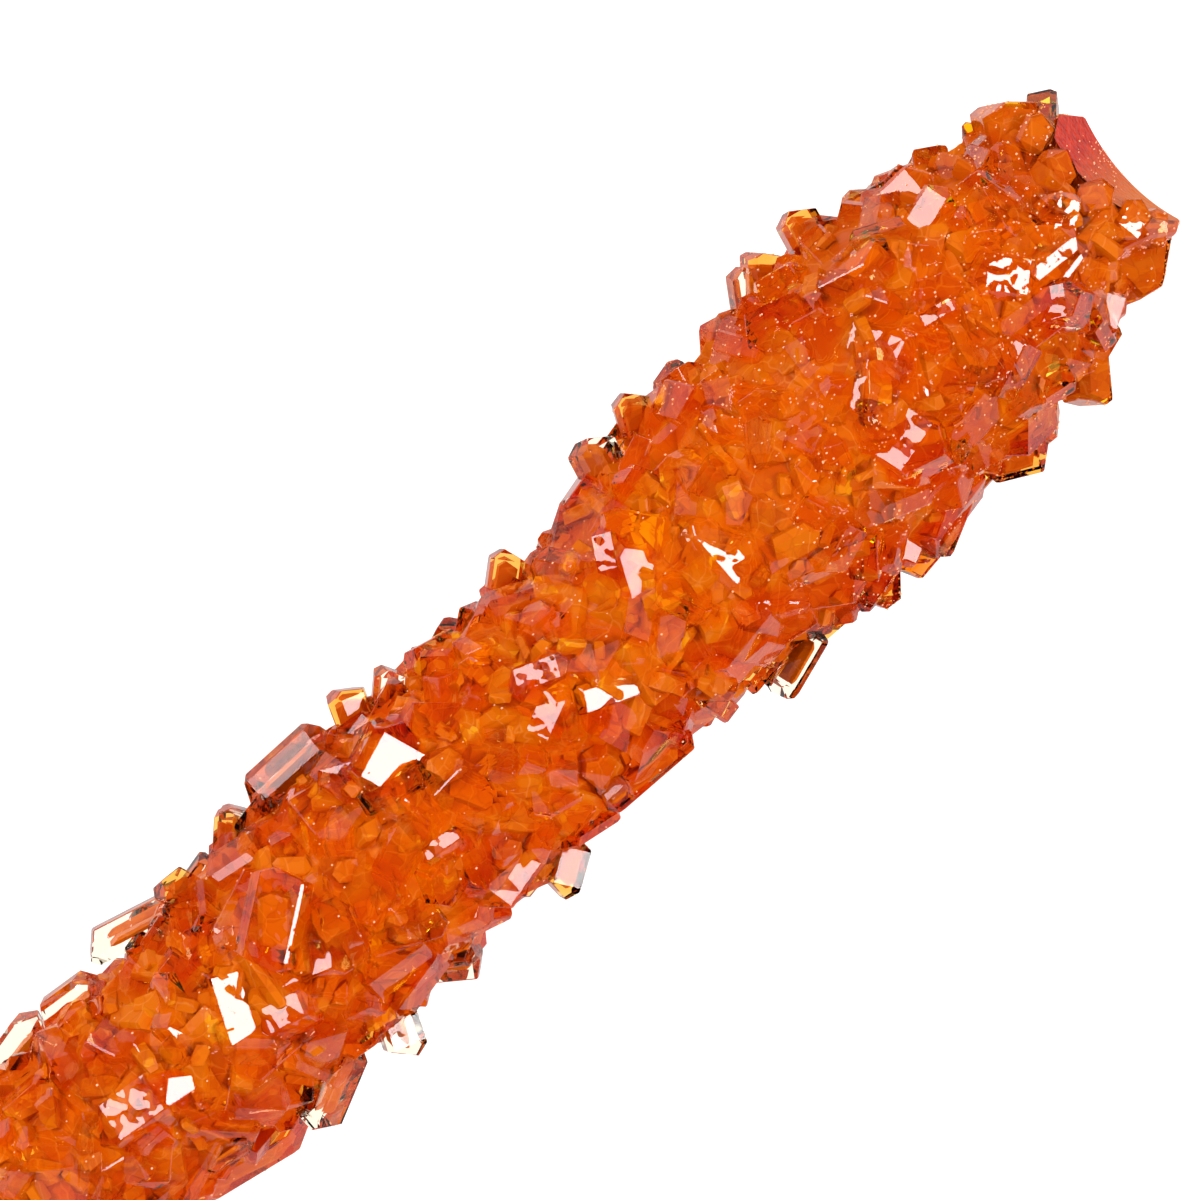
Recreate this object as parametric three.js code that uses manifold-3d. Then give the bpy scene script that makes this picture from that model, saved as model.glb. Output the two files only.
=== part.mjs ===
// A rock candy stick lying on its side: sugar crystals grown on a round wooden stick.
// Millimetres, +Z up, +X along the stick towards the candy's tip. The origin is under the middle of
// the whole stick, on the surface that the candy lies on.
import * as THREE from "three";
import { ConvexGeometry } from "three/addons/geometries/ConvexGeometry.js";
import { mergeVertices } from "three/addons/utils/BufferGeometryUtils.js";
import Module from "manifold-3d";

// Driving dimensions
const OVERALL_LENGTH = 178; // handle end to candy tip
const CANDY_LENGTH = 115;
const STICK_DIAMETER = 4;
const STICK_EDGE = 0.4; // the sanded edge at each end of the stick
const STICK_STOPS_SHORT_OF_TIP = 12;
const AXIS_HEIGHT = 8.6; // the stick's axis above the surface
const FIT_GAP = 0.3; // free space round the stick inside the candy
const CRYSTAL_BED = 1.6; // how far the crystals stand out of the solid core

// The candy's outline round the stick's axis, as reaches in millimetres at distances from its tip
const OUTLINE = [
  { fromTip: 0.6, left: 3.4, right: 3.6, up: 3.4, down: 3.8 },
  { fromTip: 3, left: 6.4, right: 6.8, up: 5.9, down: 6.6 },
  { fromTip: 7, left: 7.7, right: 8.1, up: 8.0, down: 8.6 },
  { fromTip: 12, left: 9.6, right: 9.8, up: 9.6, down: 9.3 },
  { fromTip: 17, left: 10.8, right: 10.6, up: 10.3, down: 9.5 },
  { fromTip: 21, left: 11.1, right: 10.0, up: 10.4, down: 9.4 },
  { fromTip: 26, left: 10.3, right: 10.8, up: 10.2, down: 9.3 },
  { fromTip: 32, left: 10.2, right: 10.0, up: 9.8, down: 9.2 },
  { fromTip: 36, left: 9.8, right: 9.2, up: 9.4, down: 9.0 },
  { fromTip: 40, left: 8.7, right: 9.4, up: 9.0, down: 8.8 },
  { fromTip: 44, left: 7.7, right: 8.7, up: 8.4, down: 8.7 },
  { fromTip: 50, left: 8.5, right: 8.5, up: 8.4, down: 8.7 },
  { fromTip: 57, left: 8.7, right: 8.6, up: 8.8, down: 8.9 },
  { fromTip: 63, left: 8.9, right: 8.6, up: 9.0, down: 9.1 },
  { fromTip: 69, left: 8.9, right: 8.7, up: 9.2, down: 9.2 },
  { fromTip: 75, left: 8.2, right: 8.6, up: 9.0, down: 9.1 },
  { fromTip: 81, left: 8.2, right: 8.6, up: 8.8, down: 9.1 },
  { fromTip: 87, left: 8.0, right: 8.2, up: 8.6, down: 9.0 },
  { fromTip: 95, left: 8.4, right: 8.3, up: 8.5, down: 8.9 },
  { fromTip: 103, left: 8.3, right: 8.4, up: 8.3, down: 8.7 },
  { fromTip: 109, left: 7.1, right: 7.4, up: 7.2, down: 7.4 },
  { fromTip: 113, left: 5.2, right: 5.4, up: 5.3, down: 5.4 },
  { fromTip: 115, left: 3.6, right: 3.6, up: 3.6, down: 3.6 },
];

// The solid core that the crystals grow out of
const CORE = {
  rings: 22,
  sides: 12,
  startsFromTip: 2.6,
  endsShort: 1.2, // of the candy's handle end
  capHeight: 0.7, // each end is a low cone
  seed: 17,
  unevenness: 0.9, // between its highest and lowest corners
  leastWall: 0.9, // sugar left round the stick
};

// A sugar crystal's proportions: a leaning prism with a roof-shaped end
const CRYSTAL = {
  lean: 0.23, // of its thickness
  roof: 0.32, // the roof's length, of its width
  widestRoof: 0.7, // of its length
  ridgeShift: 0.3, // of half its width
};

// The large crystals that stand out of the outline or show from a step away. across is to the left,
// above is over the stick's axis, size is length, width and thickness, and the turns are in degrees:
// heading from the tip's direction to the left, rise upwards, and roll about the crystal's length.
const LARGE_CRYSTALS = [
  // Round the tip
  { fromTip: 2.9, across: -0.6, above: 1.5, size: [10.8, 6.2, 6.2], heading: 82, rise: 0, roll: 45 },
  { fromTip: 5.6, across: 4.9, above: 1.4, size: [6.2, 4.4, 4.0], heading: 60, rise: 8, roll: 20 },
  { fromTip: 4.4, across: -5.2, above: 0.4, size: [6.4, 4.2, 4.4], heading: 35, rise: -6, roll: 12 },
  { fromTip: 11.6, across: -8.7, above: 0.6, size: [5.0, 2.8, 3.0], heading: 52, rise: 4, roll: 30 },
  // Left side
  { fromTip: 18.4, across: 9.8, above: 0.8, size: [3.4, 2.8, 2.6], heading: 75, rise: 4, roll: 12 },
  { fromTip: 22.3, across: 9.6, above: 0.5, size: [3.6, 2.6, 2.6], heading: 50, rise: 10, roll: 25 },
  { fromTip: 33.9, across: 8.9, above: 0.9, size: [3.4, 2.7, 2.6], heading: 62, rise: 6, roll: 10 },
  { fromTip: 37.3, across: 8.3, above: 0.6, size: [3.6, 3.0, 2.8], heading: 74, rise: 5, roll: 35 },
  { fromTip: 46.8, across: 7.4, above: 0.4, size: [3.8, 2.4, 2.4], heading: 38, rise: 0, roll: 15 },
  { fromTip: 59.4, across: 7.8, above: 1.2, size: [3.8, 3.0, 2.8], heading: 66, rise: 8, roll: 20 },
  { fromTip: 64.5, across: 7.9, above: 1.3, size: [6.6, 3.5, 3.2], heading: -2, rise: 2, roll: -24 },
  { fromTip: 70.3, across: 7.8, above: 0.5, size: [3.6, 2.2, 2.2], heading: 42, rise: 5, roll: 15 },
  { fromTip: 74.4, across: 6.9, above: 1.8, size: [4.2, 2.6, 2.4], heading: 105, rise: 12, roll: 30 },
  { fromTip: 77.8, across: 7.7, above: 0.9, size: [7.8, 2.7, 2.6], heading: -17, rise: 0, roll: 22 },
  { fromTip: 84.4, across: 7.0, above: 1.6, size: [4.6, 3.2, 2.4], heading: -8, rise: 6, roll: 18 },
  { fromTip: 89.6, across: 7.2, above: 0.7, size: [6.8, 3.2, 2.5], heading: 10, rise: 3, roll: 12 },
  { fromTip: 98.5, across: 7.6, above: 0.8, size: [6.0, 3.0, 2.8], heading: -28, rise: 6, roll: 20 },
  // Right side
  { fromTip: 18.4, across: -9.8, above: 0.2, size: [4.4, 3.0, 2.8], heading: -30, rise: 5, roll: 28 },
  { fromTip: 24.7, across: -9.6, above: 0.1, size: [4.4, 3.4, 3.2], heading: 24, rise: 0, roll: 30 },
  { fromTip: 30.1, across: -9.1, above: 0.5, size: [4.0, 3.2, 3.0], heading: 48, rise: 4, roll: 12 },
  { fromTip: 37.2, across: -8.9, above: -0.9, size: [5.0, 2.4, 2.6], heading: 15, rise: -5, roll: 35 },
  { fromTip: 48.4, across: -6.9, above: 3.0, size: [7.0, 2.3, 2.4], heading: -3, rise: 4, roll: 40 },
  { fromTip: 56.4, across: -8.1, above: 0.2, size: [4.2, 2.4, 2.4], heading: 30, rise: 0, roll: 20 },
  { fromTip: 65.6, across: -7.9, above: 0.4, size: [3.4, 2.8, 2.6], heading: -38, rise: 6, roll: 15 },
  { fromTip: 70.9, across: -8.0, above: 0.5, size: [4.2, 2.8, 2.6], heading: 64, rise: 4, roll: 22 },
  { fromTip: 76.2, across: -7.5, above: 2.0, size: [5.9, 3.1, 2.8], heading: 23, rise: 4, roll: -20 },
  { fromTip: 83.4, across: -7.0, above: 0.6, size: [10.2, 2.7, 2.8], heading: -13, rise: 0, roll: -28 },
  { fromTip: 97.0, across: -7.7, above: 0.9, size: [5.6, 3.2, 2.8], heading: 26, rise: 3, roll: 18 },
  // Top
  { fromTip: 11.8, across: -3.9, above: 7.4, size: [5.6, 3.8, 3.0], heading: -36, rise: 9, roll: -17 },
  { fromTip: 23.7, across: -3.4, above: 8.3, size: [6.6, 4.8, 3.0], heading: -78, rise: 5, roll: 8 },
  { fromTip: 49.4, across: 0.8, above: 6.9, size: [5.2, 4.0, 3.2], heading: -26, rise: 5, roll: 6 },
  { fromTip: 59.6, across: 4.2, above: 6.2, size: [5.4, 4.4, 3.4], heading: 18, rise: -7, roll: 24 },
  { fromTip: 70.6, across: 1.8, above: 7.6, size: [6.2, 4.4, 3.4], heading: 34, rise: -5, roll: -12 },
  { fromTip: 85.1, across: -0.7, above: 7.0, size: [5.8, 3.7, 3.2], heading: -8, rise: 3, roll: -14 },
];

// Tablets that lie flat under the candy, which it rests on
const FEET = [14, 39, 64, 89, 103];
const FOOT_SIZE = [8.4, 7.2, 3.2];
const FOOT_SUNK = 0.4; // cut off by the surface
const FOOT_HEADING = 20; // degrees, to the left and right in turn
const FOOT_RIDGE = 0.9;

// Crystals scattered over the core: rows round the candy, one crystal in each cell
const SCATTER = {
  seed: 41,
  rowSpacing: 5.0,
  cellWidth: 5.4,
  fewestCells: 6,
  bareEnds: 2.4, // no row within this of the candy's ends
  jitter: 0.7, // of a cell
  length: [4.4, 7.6],
  width: [2.4, 4.4],
  thickness: [1.8, 3.2],
  smallest: 0.65, // the share of its size that the smallest keeps
  ridge: [0.45, 0.95],
  lay: [45, 90], // degrees from straight out
  reach: [0.88, 1.02], // of the outline
  clearOfLarge: 0.46, // of a large crystal's length
};
const LARGE_RIDGE = 0.8;

// The smooth hollow that a round wall left in the tip. Its axis leans back and to the left.
const SCAR = {
  radius: 11,
  beyondTip: 10.9, // where its axis is, at this height over the stick's axis
  aboveAxis: 1.5,
  across: -3.1,
  lean: 36,
  leanToLeft: 30,
  length: 60,
  sides: 48,
};

const STICK_SIDES = 40;
const BORE_SIDES = 24;
const CUTTER = 80; // larger than the candy is thick
const SLIVER = 0.02; // edges shorter than this are merged after the pieces are joined
const SAME_POINT = 1e-4;

const tipX = OVERALL_LENGTH / 2;
const handleX = -OVERALL_LENGTH / 2;
const stickTipX = tipX - STICK_STOPS_SHORT_OF_TIP;
const { degToRad, lerp, clamp, smoothstep } = THREE.MathUtils;

const wasm = await Module();
wasm.setup();

// A pseudo-random number from 0 to 1, the same on each run
function makeRandom(seed) {
  let state = seed;
  return () => {
    state = (Math.imul(state, 1664525) + 1013904223) >>> 0;
    return state / 2 ** 32;
  };
}

function between(random, [low, high]) {
  return low + (high - low) * random();
}

// A closed three.js geometry as a solid that can be joined and cut
function solidFrom(geometry) {
  const bare = new THREE.BufferGeometry().setAttribute("position", geometry.getAttribute("position"));
  if (geometry.index) bare.setIndex(geometry.index);
  const merged = mergeVertices(bare, SAME_POINT);
  return new wasm.Manifold(
    new wasm.Mesh({
      numProp: 3,
      vertProperties: new Float32Array(merged.attributes.position.array),
      triVerts: new Uint32Array(merged.index.array),
    }),
  );
}

// A solid as a geometry for a mesh
function geometryFrom(solid) {
  const mesh = solid.getMesh();
  const positions = new Float32Array(mesh.numVert * 3);
  for (let i = 0; i < mesh.numVert; i++) {
    positions.set(mesh.vertProperties.subarray(i * mesh.numProp, i * mesh.numProp + 3), i * 3);
  }
  const geometry = new THREE.BufferGeometry();
  geometry.setAttribute("position", new THREE.BufferAttribute(positions, 3));
  geometry.setIndex(new THREE.BufferAttribute(new Uint32Array(mesh.triVerts), 1));
  geometry.computeVertexNormals();
  return geometry;
}

// The candy's four reaches at a distance from its tip, eased between the outline's stations
function reachesAt(fromTip) {
  const last = OUTLINE.length - 1;
  const held = clamp(fromTip, OUTLINE[0].fromTip, OUTLINE[last].fromTip);
  const next = Math.max(1, OUTLINE.findIndex((station) => station.fromTip >= held));
  const [a, b] = [OUTLINE[next - 1], OUTLINE[next]];
  const share = smoothstep(held, a.fromTip, b.fromTip);
  const mix = (key) => lerp(a[key], b[key], share);
  return { left: mix("left"), right: mix("right"), up: mix("up"), down: mix("down") };
}

// How far the candy reaches from the axis at an angle: 0 is left (+Y) and a quarter turn is up
function outlineRadius(fromTip, angle) {
  const reach = reachesAt(fromTip);
  const acrossReach = Math.cos(angle) > 0 ? reach.left : reach.right;
  const heightReach = Math.sin(angle) > 0 ? reach.up : reach.down;
  return 1 / Math.hypot(Math.cos(angle) / acrossReach, Math.sin(angle) / heightReach);
}

// The core: uneven rings lofted along the axis, closed by a fan at each end
function makeCore() {
  const random = makeRandom(CORE.seed);
  const positions = [];
  const triangles = [];
  const lastFromTip = CANDY_LENGTH - CORE.endsShort;
  const leastRadius = STICK_DIAMETER / 2 + CORE.leastWall;
  for (let ring = 0; ring < CORE.rings; ring++) {
    const fromTip = lerp(CORE.startsFromTip, lastFromTip, ring / (CORE.rings - 1));
    for (let side = 0; side < CORE.sides; side++) {
      const angle = (2 * Math.PI * side) / CORE.sides;
      const lump = CORE.unevenness * (random() - 0.5);
      const radius = Math.max(outlineRadius(fromTip, angle) - CRYSTAL_BED + lump, leastRadius);
      positions.push(tipX - fromTip, radius * Math.cos(angle), AXIS_HEIGHT + radius * Math.sin(angle));
    }
  }
  const nearEnd = positions.push(tipX - CORE.startsFromTip + CORE.capHeight, 0, AXIS_HEIGHT) / 3 - 1;
  const farEnd = positions.push(tipX - lastFromTip - CORE.capHeight, 0, AXIS_HEIGHT) / 3 - 1;
  for (let side = 0; side < CORE.sides; side++) {
    const next = (side + 1) % CORE.sides;
    for (let ring = 0; ring < CORE.rings - 1; ring++) {
      const [a, b] = [ring * CORE.sides + side, ring * CORE.sides + next];
      const [c, d] = [a + CORE.sides, b + CORE.sides];
      triangles.push(a, c, b, b, c, d);
    }
    const lastRing = (CORE.rings - 1) * CORE.sides;
    triangles.push(nearEnd, side, next);
    triangles.push(farEnd, lastRing + next, lastRing + side);
  }
  const geometry = new THREE.BufferGeometry();
  geometry.setAttribute("position", new THREE.BufferAttribute(new Float32Array(positions), 3));
  geometry.setIndex(triangles);
  return solidFrom(geometry);
}

// A crystal along its own X, with its middle at the origin. ridge is the share of the thickness that
// the roof's ridge keeps.
function crystalGeometry([length, width, thickness], ridge) {
  const [w, t] = [width / 2, thickness / 2];
  const lean = CRYSTAL.lean * thickness;
  const section = [
    [-w + lean, t],
    [w + lean, t],
    [w - lean, -t],
    [-w - lean, -t],
  ];
  const shoulder = length / 2 - CRYSTAL.roof * Math.min(width, CRYSTAL.widestRoof * length);
  const points = [];
  for (const end of [-1, 1]) {
    for (const [y, z] of section) points.push(new THREE.Vector3(end * shoulder, y, z));
    for (const z of [-ridge * t, ridge * t]) {
      points.push(new THREE.Vector3((end * length) / 2, end * CRYSTAL.ridgeShift * w, z));
    }
  }
  return new ConvexGeometry(points);
}

// A crystal at a place given from the candy's tip, across and above the axis, and turned in degrees
function largeCrystal({ fromTip, across, above, size, heading, rise, roll }, ridge = LARGE_RIDGE) {
  const turn = new THREE.Euler(degToRad(roll), degToRad(-rise), degToRad(heading), "ZYX");
  const geometry = crystalGeometry(size, ridge).applyQuaternion(new THREE.Quaternion().setFromEuler(turn));
  return solidFrom(geometry.translate(tipX - fromTip, across, AXIS_HEIGHT + above));
}

// A flat tablet under the candy
function foot(fromTip, index) {
  const heading = FOOT_HEADING * (index % 2 ? 1 : -1);
  const above = FOOT_SIZE[2] / 2 - FOOT_SUNK - AXIS_HEIGHT;
  return largeCrystal({ fromTip, across: 0, above, size: FOOT_SIZE, heading, rise: 0, roll: 0 }, FOOT_RIDGE);
}

// One crystal on the core: at a distance from the tip and an angle round the axis, tilted away from
// straight out by lay, turned by heading round the way out, and rolled about its own length
function scatteredCrystal({ fromTip, angle, size, ridge, lay, heading, roll, reach }) {
  const out = new THREE.Vector3(0, Math.cos(angle), Math.sin(angle));
  const along = new THREE.Vector3(1, 0, 0).applyAxisAngle(out, heading);
  const lengthwise = out.clone().multiplyScalar(Math.cos(lay)).addScaledVector(along, Math.sin(lay));
  const turn = new THREE.Quaternion().setFromUnitVectors(new THREE.Vector3(1, 0, 0), lengthwise.normalize());
  turn.multiply(new THREE.Quaternion().setFromAxisAngle(new THREE.Vector3(1, 0, 0), roll));
  const geometry = crystalGeometry(size, ridge).applyQuaternion(turn);
  const corners = geometry.getAttribute("position");
  let furthest = 0;
  for (let i = 0; i < corners.count; i++) {
    furthest = Math.max(furthest, corners.getY(i) * out.y + corners.getZ(i) * out.z);
  }
  const radius = reach * outlineRadius(fromTip, angle) - furthest;
  geometry.translate(tipX - fromTip, radius * out.y, AXIS_HEIGHT + radius * out.z);
  return solidFrom(geometry);
}

// Whether a place on the candy is free of the large crystals
function isClearOfLarge(fromTip, angle) {
  const radius = outlineRadius(fromTip, angle);
  const [across, above] = [radius * Math.cos(angle), radius * Math.sin(angle)];
  return LARGE_CRYSTALS.every((large) => {
    const away = Math.hypot(large.fromTip - fromTip, large.across - across, large.above - above);
    return away > SCATTER.clearOfLarge * large.size[0];
  });
}

// Crystals in rows round the candy, each jittered within its own cell
function scatteredCrystals() {
  const random = makeRandom(SCATTER.seed);
  const crystals = [];
  const span = CANDY_LENGTH - 2 * SCATTER.bareEnds;
  const rows = Math.round(span / SCATTER.rowSpacing);
  for (let row = 0; row < rows; row++) {
    const rowFromTip = SCATTER.bareEnds + (span * (row + 0.5)) / rows;
    const around = 2 * Math.PI * outlineRadius(rowFromTip, Math.PI / 2);
    const cells = Math.max(SCATTER.fewestCells, Math.round(around / SCATTER.cellWidth));
    for (let cell = 0; cell < cells; cell++) {
      const shift = 0.5 * (row % 2) + SCATTER.jitter * (random() - 0.5);
      const angle = (2 * Math.PI * (cell + shift)) / cells;
      const fromTip = rowFromTip + SCATTER.jitter * SCATTER.rowSpacing * (random() - 0.5);
      const share = 1 - (1 - SCATTER.smallest) * random() ** 2;
      const ranges = [SCATTER.length, SCATTER.width, SCATTER.thickness];
      const size = ranges.map((range) => share * between(random, range));
      const ridge = between(random, SCATTER.ridge);
      const lay = degToRad(between(random, SCATTER.lay));
      const heading = 2 * Math.PI * random();
      const roll = 2 * Math.PI * random();
      const reach = between(random, SCATTER.reach);
      if (!isClearOfLarge(fromTip, angle)) continue;
      crystals.push(scatteredCrystal({ fromTip, angle, size, ridge, lay, heading, roll, reach }));
    }
  }
  return crystals;
}

// A round bar along the stick's axis
function roundBar(radius, fromX, toX, sides) {
  const bar = new THREE.CylinderGeometry(radius, radius, toX - fromX, sides);
  return bar.rotateZ(-Math.PI / 2).translate((fromX + toX) / 2, 0, AXIS_HEIGHT);
}

// The round wall that left the tip's hollow
function scarTool() {
  const lean = degToRad(SCAR.lean);
  const tool = new THREE.CylinderGeometry(SCAR.radius, SCAR.radius, SCAR.length, SCAR.sides);
  tool.rotateX(Math.PI / 2).rotateY(-lean).rotateZ(-degToRad(SCAR.leanToLeft));
  return tool.translate(tipX + SCAR.beyondTip, SCAR.across, AXIS_HEIGHT + SCAR.aboveAxis);
}

function box(centreX, centreZ) {
  return new THREE.BoxGeometry(CUTTER, CUTTER, CUTTER).translate(centreX, 0, centreZ);
}

function makeCandy() {
  const large = LARGE_CRYSTALS.map((crystal) => largeCrystal(crystal));
  const joined = wasm.Manifold.union([makeCore(), ...large, ...FEET.map(foot), ...scatteredCrystals()]);
  const beyondHandle = handleX - FIT_GAP;
  const bore = roundBar(STICK_DIAMETER / 2 + FIT_GAP, beyondHandle, stickTipX + FIT_GAP, BORE_SIDES);
  const beyondTip = box(tipX + CUTTER / 2, AXIS_HEIGHT);
  const cutters = [bore, scarTool(), beyondTip].map(solidFrom);
  let candy = cutters.reduce((solid, cutter) => solid.subtract(cutter), joined);
  for (let x = handleX; x < tipX + CUTTER; x += CUTTER) {
    candy = candy.subtract(solidFrom(box(x, -CUTTER / 2)));
  }
  // Scraps that a cut leaves loose are dropped, and a hollow that the crystals seal is filled
  const bodies = candy.simplify(SLIVER).decompose();
  return bodies.sort((a, b) => b.volume() - a.volume())[0];
}

// The stick: a round dowel with sanded edges, turned about its axis
function stickGeometry() {
  const radius = STICK_DIAMETER / 2;
  const length = stickTipX - handleX;
  const profile = [
    new THREE.Vector2(0, 0),
    new THREE.Vector2(radius - STICK_EDGE, 0),
    new THREE.Vector2(radius, STICK_EDGE),
    new THREE.Vector2(radius, length - STICK_EDGE),
    new THREE.Vector2(radius - STICK_EDGE, length),
    new THREE.Vector2(0, length),
  ];
  const dowel = new THREE.LatheGeometry(profile, STICK_SIDES);
  return dowel.rotateZ(-Math.PI / 2).translate(handleX, 0, AXIS_HEIGHT);
}

const candyMaterial = new THREE.MeshStandardMaterial({ color: 0xe8640c, roughness: 0.15, metalness: 0 });
const woodMaterial = new THREE.MeshStandardMaterial({ color: 0xdcc39a, roughness: 0.75, metalness: 0 });

const candy = new THREE.Mesh(geometryFrom(makeCandy()), candyMaterial);
candy.name = "candy";

const stick = new THREE.Mesh(stickGeometry(), woodMaterial);
stick.name = "stick";

const rockCandyStick = new THREE.Group();
rockCandyStick.add(candy, stick);

export default rockCandyStick;
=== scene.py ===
# %% [markdown]
# # A stick of orange rock candy
#
# Rock candy is sugar that has crystallised on a wooden stick over a week or two. The crystals start
# on the stick and push each other outwards, so the candy is a dense crowd of slanted blocks, and the
# last ones to grow stand clear of the rest. This lesson dresses the plain CAD solids with crystals
# that light passes through. Every length below is in millimetres until a mesh is made.

import math
from itertools import product

import bpy
import numpy as np
from mathutils import Euler, Matrix, Quaternion, Vector
from mathutils.bvhtree import BVHTree


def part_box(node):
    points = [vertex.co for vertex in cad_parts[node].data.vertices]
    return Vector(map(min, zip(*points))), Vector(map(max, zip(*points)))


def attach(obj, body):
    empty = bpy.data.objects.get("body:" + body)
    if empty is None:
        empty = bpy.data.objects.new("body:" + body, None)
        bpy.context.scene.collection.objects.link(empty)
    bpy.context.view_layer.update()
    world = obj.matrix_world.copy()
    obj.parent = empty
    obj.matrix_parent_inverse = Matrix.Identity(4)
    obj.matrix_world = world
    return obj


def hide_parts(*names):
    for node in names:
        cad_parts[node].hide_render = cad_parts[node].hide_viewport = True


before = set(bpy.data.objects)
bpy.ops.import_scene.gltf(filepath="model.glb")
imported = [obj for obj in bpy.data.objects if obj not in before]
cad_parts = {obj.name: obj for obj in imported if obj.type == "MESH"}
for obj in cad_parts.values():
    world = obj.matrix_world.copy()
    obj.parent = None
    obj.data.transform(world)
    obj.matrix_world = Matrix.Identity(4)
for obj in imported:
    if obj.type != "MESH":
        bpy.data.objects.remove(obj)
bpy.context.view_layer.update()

# %% [markdown]
# The stick's own box says where everything goes: its axis is the middle of the candy, and its handle
# end is 178 mm from the candy's tip. Places along the candy are given as a distance from the tip, and
# round it as an angle from its left side, over the top.

# %% Anchor the candy on the stick
MM = 0.001
OVERALL_LENGTH = 178.0
CANDY_LENGTH = 115.0
stick_low, stick_high = (np.array(corner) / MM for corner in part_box("stick"))
candy_low, candy_high = (np.array(corner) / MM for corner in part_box("candy"))
TIP_X = stick_low[0] + OVERALL_LENGTH
AXIS_HEIGHT = (stick_low[2] + stick_high[2]) / 2
print("tip at", round(TIP_X, 2), "mm, axis", round(AXIS_HEIGHT, 2), "mm above the table")

# %% [markdown]
# Grown candy isn't a plain cylinder. It swells into a shoulder near the tip, narrows behind it and
# tapers at both ends. A table of its reaches to the left, right, top and underside, with a row for every
# few millimetres, describes that better than any single curve.

# %% Outline of the candy
# from the tip, then how far the crystals reach to the left, right, up and down
OUTLINE = np.array([
    (0.6, 3.4, 3.6, 3.4, 3.8),
    (3, 6.4, 6.8, 5.9, 6.6),
    (7, 7.7, 8.1, 8.0, 8.6),
    (12, 9.6, 9.8, 9.6, 9.3),
    (17, 10.8, 10.6, 10.3, 9.5),
    (21, 11.1, 10.0, 10.4, 9.4),
    (26, 10.3, 10.8, 10.2, 9.3),
    (32, 10.2, 10.0, 9.8, 9.2),
    (36, 9.8, 9.2, 9.4, 9.0),
    (40, 8.7, 9.4, 9.0, 8.8),
    (44, 7.7, 8.7, 8.4, 8.7),
    (50, 8.5, 8.5, 8.4, 8.7),
    (57, 8.7, 8.6, 8.8, 8.9),
    (63, 8.9, 8.6, 9.0, 9.1),
    (69, 8.9, 8.7, 9.2, 9.2),
    (75, 8.2, 8.6, 9.0, 9.1),
    (81, 8.2, 8.6, 8.8, 9.1),
    (87, 8.0, 8.2, 8.6, 9.0),
    (95, 8.4, 8.3, 8.5, 8.9),
    (103, 8.3, 8.4, 8.3, 8.7),
    (109, 7.1, 7.4, 7.2, 7.4),
    (113, 5.2, 5.4, 5.3, 5.4),
    (115, 3.6, 3.6, 3.6, 3.6),
])


def reach_of_candy(from_tip, angle):
    """How far the candy reaches from its axis; the angle is 0 on the left and a quarter turn on top."""
    distances, *reaches = OUTLINE.T
    left, right, up, down = (np.interp(from_tip, distances, reach) for reach in reaches)
    across = left if math.cos(angle) > 0 else right
    height = up if math.sin(angle) > 0 else down
    return 1 / math.hypot(math.cos(angle) / across, math.sin(angle) / height)


def place_on_candy(from_tip, across, above):
    """A point in the frame, in mm, from its distance to the tip, the stick's side and its axis."""
    return np.array([TIP_X - from_tip, across, AXIS_HEIGHT + above])


print("widest:", round(2 * reach_of_candy(20, 0), 1), "mm across near the tip")

# %% [markdown]
# A sugar crystal is a slanted tablet: six sides round its length, two of them leaning, and a low roof
# at each end. Cutting a block with planes gives exactly the flat faces and sharp edges that growth
# gives. Five blocks of different proportions are cut once, and every crystal is a copy of one of them.
# The sharpest edges of the clear ones also get a tiny bevel, because a real edge is never perfectly
# sharp and its bright line is half of the sparkle.

# %% Cut a crystal from a block
# shares of the crystal's own width or thickness
ROOF = 0.32
LEAN = 0.23
RIDGE_SHIFT = 0.3
# a roof falls no farther in crystals that are wider than this share of their length
WIDEST_ROOF = 0.7
# the bevel is a share of the length, on edges that turn by more than this many degrees
EDGE_BEVEL = 0.012
SHARPEST = 62.0


def cut_with_plane(point, normal):
    """Cuts off what is on the plane's outer side and closes the cut."""
    bpy.ops.mesh.select_all(action="SELECT")
    bpy.ops.mesh.bisect(plane_co=point, plane_no=normal, use_fill=True, clear_outer=True)


def cut_long_sides(half_width, half_thick, corner):
    """The leaning side and the narrow corner face, on both sides of the block."""
    lean = LEAN * 2 * half_thick
    for side in (1, -1):
        cut_with_plane(
            (0, side * half_width, side * (half_thick - corner)),
            (0, side * (2 * half_thick - corner), -side * lean),
        )
        cut_with_plane((0, side * (half_width - corner), side * half_thick), (0, side, side))


def cut_roofs(half_width, half_thick, ridge):
    """The low roof at each end, with a ridge off the middle and both ends of the ridge cut down."""
    drop = ROOF * min(2 * half_width, WIDEST_ROOF)
    shift = RIDGE_SHIFT * half_width
    for end in (1, -1):
        top = (end * 0.5, end * shift, 0)
        cut_with_plane(top, (end * (half_width - shift), end * drop, 0))
        cut_with_plane(top, (end * (half_width + shift), -end * drop, 0))
        fall = (1 - ridge) * half_thick
        for side in (1, -1):
            cut_with_plane((end * 0.5, 0, side * ridge * half_thick), (end * fall, 0, side * drop))


def start_block():
    """A cube of unit size, ready to be cut in edit mode."""
    bpy.ops.object.select_all(action="DESELECT")
    bpy.ops.mesh.primitive_cube_add(size=1)
    bpy.ops.object.mode_set(mode="EDIT")
    return bpy.context.object


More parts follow.
